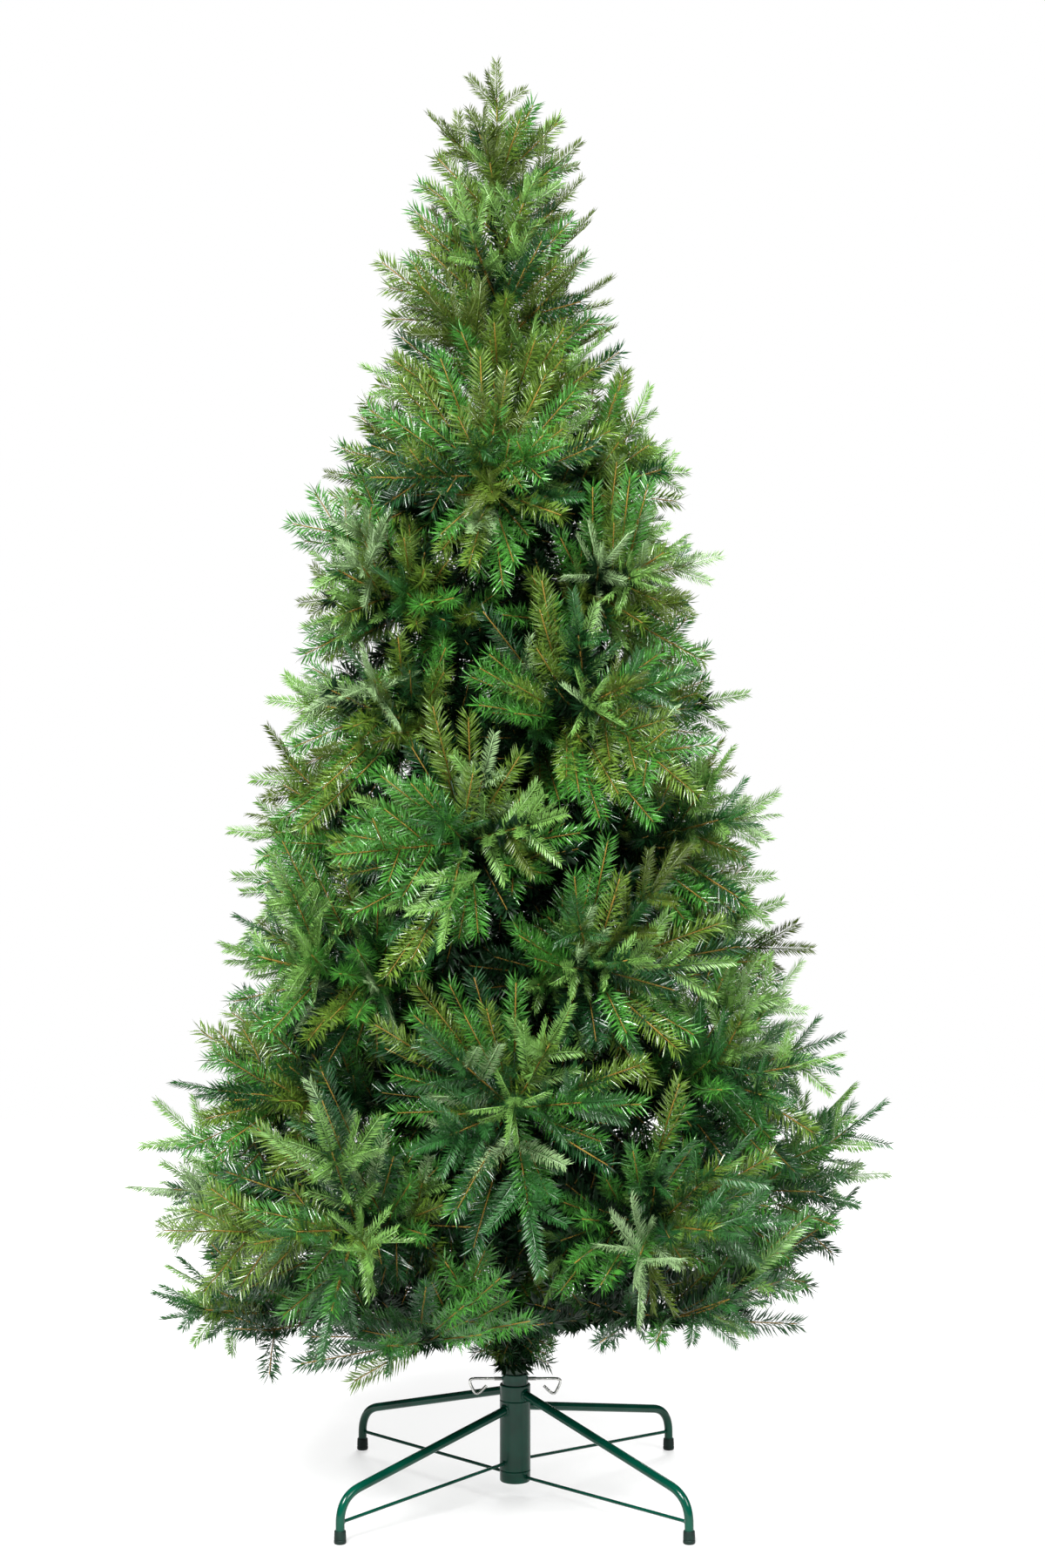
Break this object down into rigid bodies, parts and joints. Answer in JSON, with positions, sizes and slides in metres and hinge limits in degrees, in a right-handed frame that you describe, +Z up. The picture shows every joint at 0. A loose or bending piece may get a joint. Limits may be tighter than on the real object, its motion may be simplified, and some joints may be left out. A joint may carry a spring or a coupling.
{
  "type": "artificial fir christmas tree on a folding stand",
  "caption": "Artificial fir Christmas tree: tiers of needled branches on a slightly leaning steel pole, clamped by wire thumbscrews in a folding steel stand with splayed tube legs.",
  "frame": {"origin": "on the floor under the middle of the stand's tube", "axes": "+Z up, the pictured front faces -Y, +X to the right of it"},
  "size_m": [1.1221, 1.1084, 2.0998],
  "materials": {
    "needles": "matt and satin green needles",
    "bough_wrap": "steel wire wrapped in brown and green film",
    "pole_paint": "satin dark green paint",
    "stand_paint": "gloss dark green paint",
    "foot_rubber": "dark green moulded caps",
    "screw_chrome": "bright plated wire"
  },
  "bodies": {
    "root": {"bough_1": "bough_wrap", "bough_2": "bough_wrap", "bough_3": "bough_wrap", "bough_4": "bough_wrap", "bough_5": "bough_wrap", "bough_6": "bough_wrap", "brace_back_left": "stand_paint", "brace_back_right": "stand_paint", "brace_front_left": "stand_paint", "brace_front_right": "stand_paint", "foliage_1_1": "needles", "foliage_1_2": "needles", "foliage_1_3": "needles", "foliage_1_4": "needles", "foliage_1_5": "needles", "foliage_1_6": "needles", "foliage_2_1": "needles", "foliage_2_2": "needles", "foliage_2_3": "needles", "foliage_2_4": "needles", "foliage_2_5": "needles", "foliage_2_6": "needles", "foliage_3_1": "needles", "foliage_3_2": "needles", "foliage_3_3": "needles", "foliage_3_4": "needles", "foliage_3_5": "needles", "foliage_4_1": "needles", "foliage_4_2": "needles", "foliage_4_3": "needles", "foliage_4_4": "needles", "foliage_5_1": "needles", "foliage_5_2": "needles", "foliage_5_3": "needles", "foliage_5_4": "needles", "foliage_6_1": "needles", "foliage_6_2": "needles", "foliage_6_3": "needles", "foliage_6_4": "needles", "foliage_7_1": "needles", "foliage_7_2": "needles", "foliage_7_3": "needles", "foliage_8_1": "needles", "foliage_8_2": "needles", "foliage_8_3": "needles", "foliage_top": "needles", "foot_cap_back_left": "foot_rubber", "foot_cap_back_right": "foot_rubber", "foot_cap_front_left": "foot_rubber", "foot_cap_front_right": "foot_rubber", "leg_back_left": "stand_paint", "leg_back_right": "stand_paint", "leg_front_left": "stand_paint", "leg_front_right": "stand_paint", "stand_sleeve": "stand_paint", "stand_tube": "stand_paint", "thumb_screw_back": "screw_chrome", "thumb_screw_left": "screw_chrome", "thumb_screw_right": "screw_chrome", "trunk_pole": "pole_paint"}
  },
  "joints": []
}
